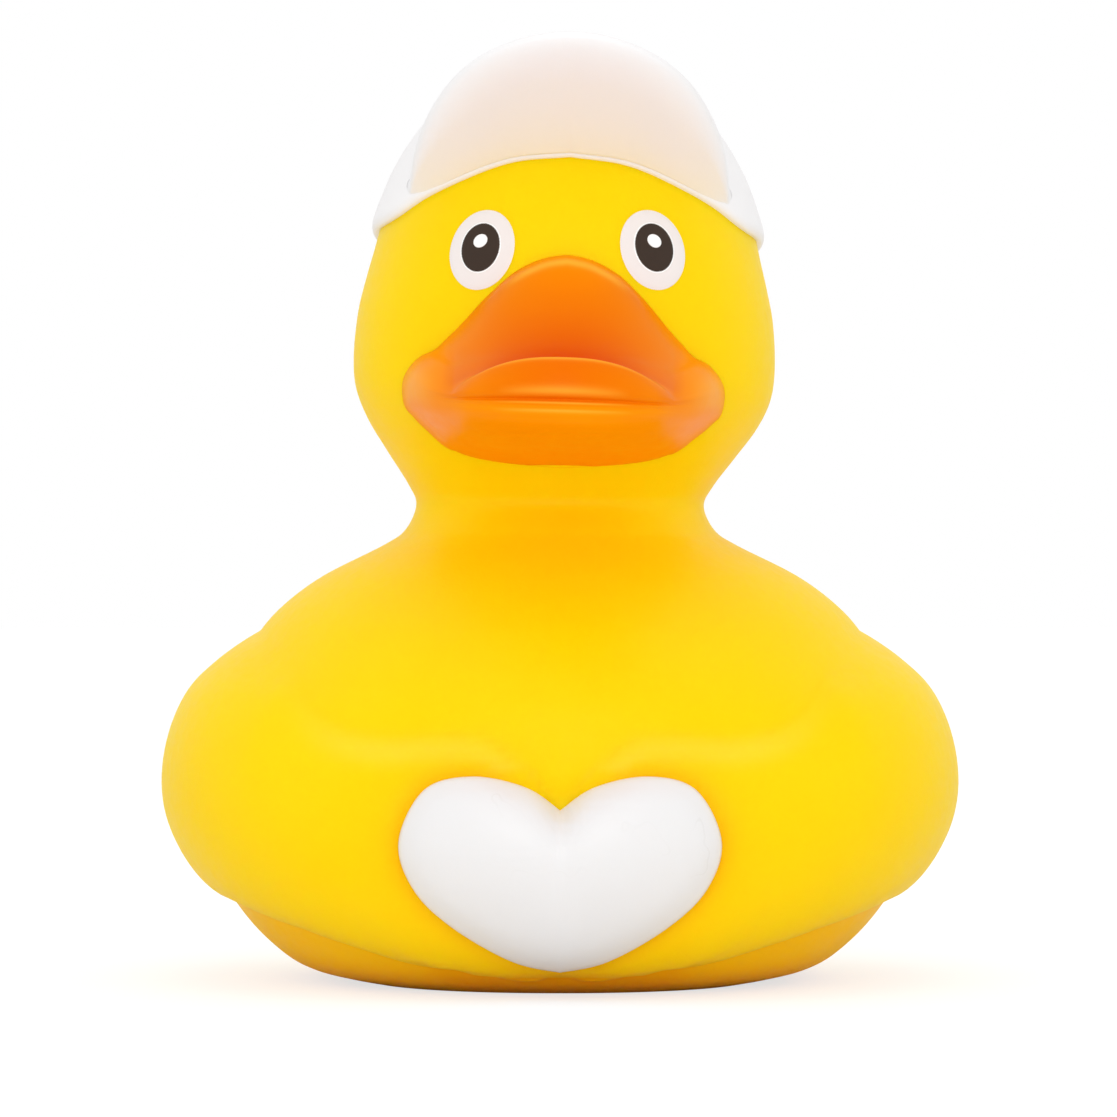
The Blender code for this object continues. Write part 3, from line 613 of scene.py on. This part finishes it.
around = np.linspace(0, 360, CROWN_COLUMNS, endpoint=False)
from_front = np.abs((around + 180) % 360 - 180)
edge = place_at(along(from_front, CAP_EDGE_ANGLES, CAP_EDGE_Z))[None, :]
share = np.linspace(0, CROWN_CLOSES_AT, CROWN_ROWS)[:, None]
bare = section_points(edge + (len(SECTIONS) - 1 - edge) * share, around[None, :] + 0 * share)
normals = grid_normals(bare)
lift = CAP_THICKNESS * (1 - 0.55 * np.exp(-share / 0.012))[..., None]
lip = [bare[0] - normals[0] * 0.9 + (0, 0, 0.3), bare[0] + normals[0] * 0.15 + (0, 0, 0.02)]
crown = mesh_piece("cap_crown", lean(np.concatenate([lip, bare + normals * lift])), close=(False, True))

cap_paint = Finish("white cap paint", (0.872, 0.858, 0.858), 0.36)
cap_paint.shader.inputs["Specular IOR Level"].default_value = 0.3
cap_paint.wire(cap_paint.spread(cap_paint.noise(500, 3), 0.3, 0.7, 0.32, 0.4), "Roughness")
cap_paint.relief(cap_paint.noise(2400, 2), 0.000012)
crown.data.materials.append(cap_paint.material)
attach(crown, "root")
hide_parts("duck")

# The cap's peak: a curved plate moulded on the front of the crown, with a thick rounded rim.
# It fans out upward and forward over the forehead, and the crown's lip shows under its root.
PEAK_HALF_WIDTH = 16.6
PEAK_ROOT_SHARE = 0.905
PEAK_TIP = (38.5, 93.4)
PEAK_CORNER = (14.5, 78.9)
PEAK_THICKNESS = 2.2
PEAK_UNDER_ROLL, PEAK_OVER_ROLL = 6.0, 1.2
PEAK_EDGE_SHARE = 0.62
PEAK_BEDDED = 3.0
PEAK_SPAN_DEG, PEAK_COLUMNS = 88, 161
ROOT_PROUD = 1.0
LIP_SHOWN = 0.45
turn = np.radians(np.linspace(-PEAK_SPAN_DEG, PEAK_SPAN_DEG, PEAK_COLUMNS))
y = PEAK_HALF_WIDTH * np.sin(turn)
rim = np.stack(
    [
        PEAK_CORNER[0] + (PEAK_TIP[0] - PEAK_CORNER[0]) * np.cos(turn),
        y,
        PEAK_CORNER[1] + (PEAK_TIP[1] - PEAK_CORNER[1]) * np.cos(turn),
    ],
    axis=-1,
)
head_side = smooth_curve(SECTIONS, place_at(PEAK_CORNER[1]))[3]
angle = np.degrees(np.arcsin(np.clip(y * PEAK_ROOT_SHARE / head_side, -1, 1)))
root = section_points(place_at(along(np.abs(angle), CAP_EDGE_ANGLES, CAP_EDGE_Z) + LIP_SHOWN), angle)
from_axis = (root - (root[PEAK_COLUMNS // 2, 0] - 20.0, 0, 0)) * (1, 1, 0)
from_axis = from_axis / np.linalg.norm(from_axis, axis=-1, keepdims=True)
root = root + from_axis * ROOT_PROUD * np.sqrt(np.cos(turn))[:, None]
out = rim - root
reach = np.linalg.norm(out, axis=-1, keepdims=True)
out = out / reach
up = np.cross(out, np.gradient(root, axis=0))
up = up / np.linalg.norm(up, axis=-1, keepdims=True)
up[up[:, 2] < 0] *= -1
t = PEAK_THICKNESS
under_roll = np.minimum(PEAK_UNDER_ROLL, reach * 0.45)
over_roll = np.minimum(PEAK_OVER_ROLL, reach * 0.3)
rows = [root - (PEAK_BEDDED, 0, 0) + up * 0.2]
rows += [root + (rim - out * under_roll - root) * s for s in np.linspace(0, 1, 40)]
for bend in np.radians(np.linspace(-87, 0, 24)):
    lift = PEAK_EDGE_SHARE * (1 + np.sin(bend))
    rows.append(rim - out * under_roll * (1 - np.cos(bend)) + up * t * lift)
for bend in np.radians(np.linspace(6, 87, 12)):
    lift = PEAK_EDGE_SHARE + (1 - PEAK_EDGE_SHARE) * np.sin(bend)
    rows.append(rim - out * over_roll * (1 - np.cos(bend)) + up * t * lift)
rows += [root + (rim - out * over_roll - root) * s + up * t for s in np.linspace(1, 0, 40)]
rows.append(root - (PEAK_BEDDED, 0, 0) + up * (t + 0.2))
peak = mesh_piece("cap_peak", lean(np.stack(rows, axis=1)))
peak.data.materials.append(cap_paint.material)
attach(peak, "root")
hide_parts("duck")

# The eyes: pad-printed ovals, white under a dark pupil under a glint.
# Each is a film of ink laid on the face, so a node tree drops an oval disc onto the skin.
EYE_Y, EYE_SPACING, PUPIL_SPACING = 0.73, 17.0, 17.2
EYE_Z = 74.25
PUPIL_RAISED, GLINT_RAISED = 0.2, 0.85
RAY_FROM_X, RAY_LENGTH = 0.1, 0.3


def ink_oval_tree():
    tree = bpy.data.node_groups.new("ink oval on the face", "GeometryNodeTree")
    face = tree.interface
    face.new_socket("Geometry", in_out="OUTPUT", socket_type="NodeSocketGeometry")
    face.new_socket("Geometry", in_out="INPUT", socket_type="NodeSocketGeometry")
    face.new_socket("Face", in_out="INPUT", socket_type="NodeSocketObject")
    face.new_socket("Centre", in_out="INPUT", socket_type="NodeSocketVector")
    face.new_socket("Half size", in_out="INPUT", socket_type="NodeSocketVector")
    face.new_socket("Tilt", in_out="INPUT", socket_type="NodeSocketFloat")
    face.new_socket("Film", in_out="INPUT", socket_type="NodeSocketFloat")
    face.new_socket("Ink", in_out="INPUT", socket_type="NodeSocketMaterial")
    add = tree.nodes.new
    link = tree.links.new
    given, made = add("NodeGroupInput"), add("NodeGroupOutput")

    disc = add("GeometryNodeMeshCircle")
    disc.fill_type = "TRIANGLE_FAN"
    disc.inputs["Vertices"].default_value = 96
    disc.inputs["Radius"].default_value = 1.0
    fine = add("GeometryNodeSubdivideMesh")
    fine.inputs["Level"].default_value = 3
    link(disc.outputs["Mesh"], fine.inputs["Mesh"])

    where = add("GeometryNodeInputPosition")
    from_middle = add("ShaderNodeVectorMath")
    from_middle.operation = "LENGTH"
    link(where.outputs[0], from_middle.inputs[0])
    at_rim = add("ShaderNodeMapRange")
    at_rim.inputs["From Min"].default_value = 0.9
    at_rim.inputs["From Max"].default_value = 1.0
    at_rim.inputs["To Min"].default_value = 1.0
    at_rim.inputs["To Max"].default_value = -0.6
    link(from_middle.outputs["Value"], at_rim.inputs["Value"])
    film = add("ShaderNodeMath")
    film.operation = "MULTIPLY"
    link(at_rim.outputs["Result"], film.inputs[0])
    link(given.outputs["Film"], film.inputs[1])
    keep_film = add("GeometryNodeStoreNamedAttribute")
    keep_film.data_type = "FLOAT"
    keep_film.domain = "POINT"
    keep_film.inputs["Name"].default_value = "film"
    link(fine.outputs["Mesh"], keep_film.inputs["Geometry"])
    link(film.outputs[0], keep_film.inputs["Value"])

    size = add("GeometryNodeTransform")
    link(keep_film.outputs["Geometry"], size.inputs["Geometry"])
    link(given.outputs["Half size"], size.inputs["Scale"])
    spin = add("ShaderNodeCombineXYZ")
    link(given.outputs["Tilt"], spin.inputs["Z"])
    slant = add("GeometryNodeTransform")
    link(size.outputs["Geometry"], slant.inputs["Geometry"])
    link(spin.outputs["Vector"], slant.inputs["Rotation"])
    stand = add("GeometryNodeTransform")
    stand.inputs["Rotation"].default_value = (math.pi / 2, 0, math.pi / 2)
    link(slant.outputs["Geometry"], stand.inputs["Geometry"])
    move = add("GeometryNodeTransform")
    link(stand.outputs["Geometry"], move.inputs["Geometry"])
    link(given.outputs["Centre"], move.inputs["Translation"])

    target = add("GeometryNodeObjectInfo")
    link(given.outputs["Face"], target.inputs["Object"])
    cast = add("GeometryNodeRaycast")
    cast.inputs["Ray Direction"].default_value = (-1, 0, 0)
    cast.inputs["Ray Length"].default_value = RAY_LENGTH
    link(target.outputs["Geometry"], cast.inputs["Target Geometry"])
    stored = add("GeometryNodeInputNamedAttribute")
    stored.data_type = "FLOAT"
    stored.inputs["Name"].default_value = "film"
    lifted = add("ShaderNodeVectorMath")
    lifted.operation = "SCALE"
    link(cast.outputs["Hit Normal"], lifted.inputs[0])
    link(stored.outputs["Attribute"], lifted.inputs["Scale"])
    total = add("ShaderNodeVectorMath")
    total.operation = "ADD"
    link(cast.outputs["Hit Position"], total.inputs[0])
    link(lifted.outputs[0], total.inputs[1])
    drop = add("GeometryNodeSetPosition")
    link(move.outputs["Geometry"], drop.inputs["Geometry"])
    link(total.outputs[0], drop.inputs["Position"])
    real = add("GeometryNodeRealizeInstances")
    link(drop.outputs["Geometry"], real.inputs["Geometry"])
    inked = add("GeometryNodeSetMaterial")
    link(real.outputs["Geometry"], inked.inputs["Geometry"])
    link(given.outputs["Ink"], inked.inputs["Material"])
    link(inked.outputs["Geometry"], made.inputs["Geometry"])
    return tree


ink_oval = ink_oval_tree()


def ink_on_face(name, y, z, half_width, half_height, tilt_deg, film, ink):
    """One printed oval on the face, in millimetres across and up, as a plain mesh."""
    holder = bpy.data.objects.new(name, bpy.data.meshes.new(name))
    bpy.context.scene.collection.objects.link(holder)
    modifier = holder.modifiers.new("ink", "NODES")
    modifier.node_group = ink_oval
    sockets = ink_oval.interface.items_tree
    ids = {socket.name: socket.identifier for socket in sockets if socket.in_out == "INPUT"}
    modifier[ids["Face"]] = skin
    modifier[ids["Centre"]] = (RAY_FROM_X, y / 1000, z / 1000)
    modifier[ids["Half size"]] = (half_width / 1000, half_height / 1000, 1.0)
    modifier[ids["Tilt"]] = math.radians(tilt_deg)
    modifier[ids["Film"]] = film / 1000
    modifier[ids["Ink"]] = ink
    bpy.context.view_layer.update()
    graph = bpy.context.evaluated_depsgraph_get()
    made = bpy.data.meshes.new_from_object(holder.evaluated_get(graph))
    holder.modifiers.clear()
    holder.data = made
    made.shade_smooth()
    return holder


eye_white = Finish("eye white ink", (0.83, 0.77, 0.745), 0.36)
halo_white = Finish("bright white ink", (0.97, 0.96, 0.95), 0.36)
halo_white.wire(halo_white.spread(halo_white.noise(900, 2), 0.3, 0.7, 0.33, 0.4), "Roughness")
eye_white.wire(eye_white.spread(eye_white.noise(900, 2), 0.3, 0.7, 0.33, 0.4), "Roughness")
pupil_ink = Finish("dark brown ink", (0.042, 0.026, 0.018), 0.4)
pupil_ink.shader.inputs["Specular IOR Level"].default_value = 0.15
pupil_ink.wire(pupil_ink.spread(pupil_ink.noise(1500, 2), 0.3, 0.7, 0.36, 0.46), "Roughness")
for side, label in ((-1, "right"), (1, "left")):
    eye_y, pupil_y = EYE_Y + side * EYE_SPACING / 2, EYE_Y + side * PUPIL_SPACING / 2
    # Each oval: name, place, half width and height, slant, film, ink, slot.
    ovals = (
        ("eye_white", eye_y, EYE_Z, 3.30, 4.28, 17, 0.08, eye_white, "white_paint"),
        ("pupil_halo", pupil_y, EYE_Z + PUPIL_RAISED, 2.18, 2.86, 15, 0.11, halo_white, "white_paint"),
        ("pupil", pupil_y, EYE_Z + PUPIL_RAISED, 2.05, 2.72, 15, 0.14, pupil_ink, "brown_paint"),
        ("glint", pupil_y, EYE_Z + GLINT_RAISED, 0.67, 0.83, 48, 0.18, halo_white, "white_paint"),
    )
    for what, y, z, half_width, half_height, slant, film, ink, slot in ovals:
        name = f"{label}_{what}"
        piece = ink_on_face(name, y, z, half_width, half_height, side * slant, film, ink.material)
        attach(piece, "root")
        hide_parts("duck")

# The studio: a pale floor, a white surround, and soft boxes in front, low down and above.
# The floor keeps the duck's faint shadow, and the surround is plain white to the camera.
FLOOR_REACH = 3.0
FLOOR_GLOW, FLOOR_WHITENESS = 1.16, 0.6
SURROUND_LEVEL = 0.89
r = FLOOR_REACH
floor_mesh = bpy.data.meshes.new("floor")
floor_mesh.from_pydata([(-r, -r, 0), (r, -r, 0), (r, r, 0), (-r, r, 0)], [], [(0, 1, 2, 3)])
floor = bpy.data.objects.new("floor", floor_mesh)
bpy.context.scene.collection.objects.link(floor)
pale = Finish("pale floor", (0.9, 0.9, 0.9), 0.8)
glow = pale.add("ShaderNodeEmission", {"Color": (1, 1, 1, 1), "Strength": FLOOR_GLOW})
path = pale.add("ShaderNodeLightPath")
whitened = {0: path.outputs["Is Camera Ray"], 1: FLOOR_WHITENESS}
seen = pale.add("ShaderNodeMath", whitened, operation="MULTIPLY")
blend = pale.add("ShaderNodeMixShader", {0: seen.outputs[0]})
pale.links.new(pale.shader.outputs[0], blend.inputs[1])
pale.links.new(glow.outputs[0], blend.inputs[2])
pale.links.new(blend.outputs[0], pale.nodes["Material Output"].inputs["Surface"])
floor_mesh.materials.append(pale.material)

world = bpy.data.worlds.new("white surround")
bpy.context.scene.world = world
world.use_nodes = True
nodes, links = world.node_tree.nodes, world.node_tree.links
path = nodes.new("ShaderNodeLightPath")
both = nodes.new("ShaderNodeMath")
both.operation = "MAXIMUM"
links.new(path.outputs["Is Camera Ray"], both.inputs[0])
links.new(path.outputs["Is Glossy Ray"], both.inputs[1])
three = nodes.new("ShaderNodeMath")
three.operation = "MAXIMUM"
links.new(both.outputs[0], three.inputs[0])
links.new(path.outputs["Is Transmission Ray"], three.inputs[1])
level = nodes.new("ShaderNodeMapRange")
level.inputs["To Min"].default_value = SURROUND_LEVEL
level.inputs["To Max"].default_value = 1.0
links.new(three.outputs[0], level.inputs["Value"])
links.new(level.outputs["Result"], nodes["Background"].inputs["Strength"])
nodes["Background"].inputs["Color"].default_value = (1, 1, 1, 1)


AIMED_AT = Vector((0, 0, 0.045))


def soft_box(name, place, size, power):
    lamp = bpy.data.lights.new(name, "AREA")
    lamp.shape = "DISK"
    lamp.size = size
    lamp.energy = power
    box = bpy.data.objects.new(name, lamp)
    box.location = place
    box.rotation_euler = (AIMED_AT - box.location).to_track_quat("-Z", "Y").to_euler()
    bpy.context.scene.collection.objects.link(box)


soft_box("front box", (0.75, 0.0, 0.4), 0.6, 0.75)
soft_box("low box", (0.72, 0.0, 0.05), 0.5, 1.15)
soft_box("top box", (-0.06, 0.0, 0.9), 0.6, 0.7)

# The camera, level with the neck and straight in front.
# It stands far enough off that the two sides of the duck look nearly level with its front.
CAMERA_AWAY, CAMERA_ASIDE, CAMERA_HEIGHT = 0.6, -0.000156, 0.0435
lens = bpy.data.cameras.new("camera")
lens.sensor_width = 36
lens.lens = 186.2
camera = bpy.data.objects.new("camera", lens)
camera.location = (axis_x / 1000 + CAMERA_AWAY, CAMERA_ASIDE, CAMERA_HEIGHT)
camera.rotation_euler = (math.radians(90), 0, math.radians(90))
bpy.context.scene.collection.objects.link(camera)
bpy.context.scene.camera = camera
bpy.context.scene.view_settings.view_transform = "Standard"
